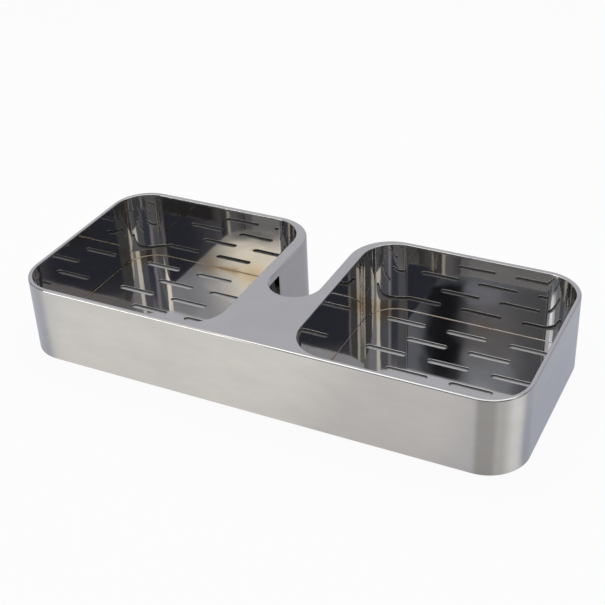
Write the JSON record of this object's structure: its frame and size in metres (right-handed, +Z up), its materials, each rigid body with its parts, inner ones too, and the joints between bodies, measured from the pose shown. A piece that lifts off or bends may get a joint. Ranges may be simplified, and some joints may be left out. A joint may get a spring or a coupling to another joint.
{
  "type": "shower shelf",
  "caption": "Double shower shelf of polished steel sheet, with square slotted basins joined by a flat deck that is notched at the back for a riser pipe.",
  "frame": {"origin": "centre of the bounding box on the plane of the lower edges", "axes": "+X to the right along the front, +Y to the wall behind, +Z up"},
  "size_m": [0.36, 0.1554, 0.056],
  "materials": {
    "deck_steel": "polished stainless steel sheet",
    "skirt_steel": "polished stainless steel sheet",
    "wall_steel": "mirror polished stainless steel sheet",
    "floor_steel": "mirror polished stainless steel sheet",
    "weld_steel": "weld bead with a straw heat tint",
    "pad_foam": "grey acrylic foam pad"
  },
  "bodies": {
    "root": {"deck_plate": "deck_steel", "outer_skirt": "skirt_steel", "notch_lip": "skirt_steel", "left_basin_wall": "wall_steel", "right_basin_wall": "wall_steel", "left_floor_plate": "floor_steel", "right_floor_plate": "floor_steel", "left_floor_weld": "weld_steel", "right_floor_weld": "weld_steel", "left_wall_pad": "pad_foam", "right_wall_pad": "pad_foam"}
  },
  "joints": []
}
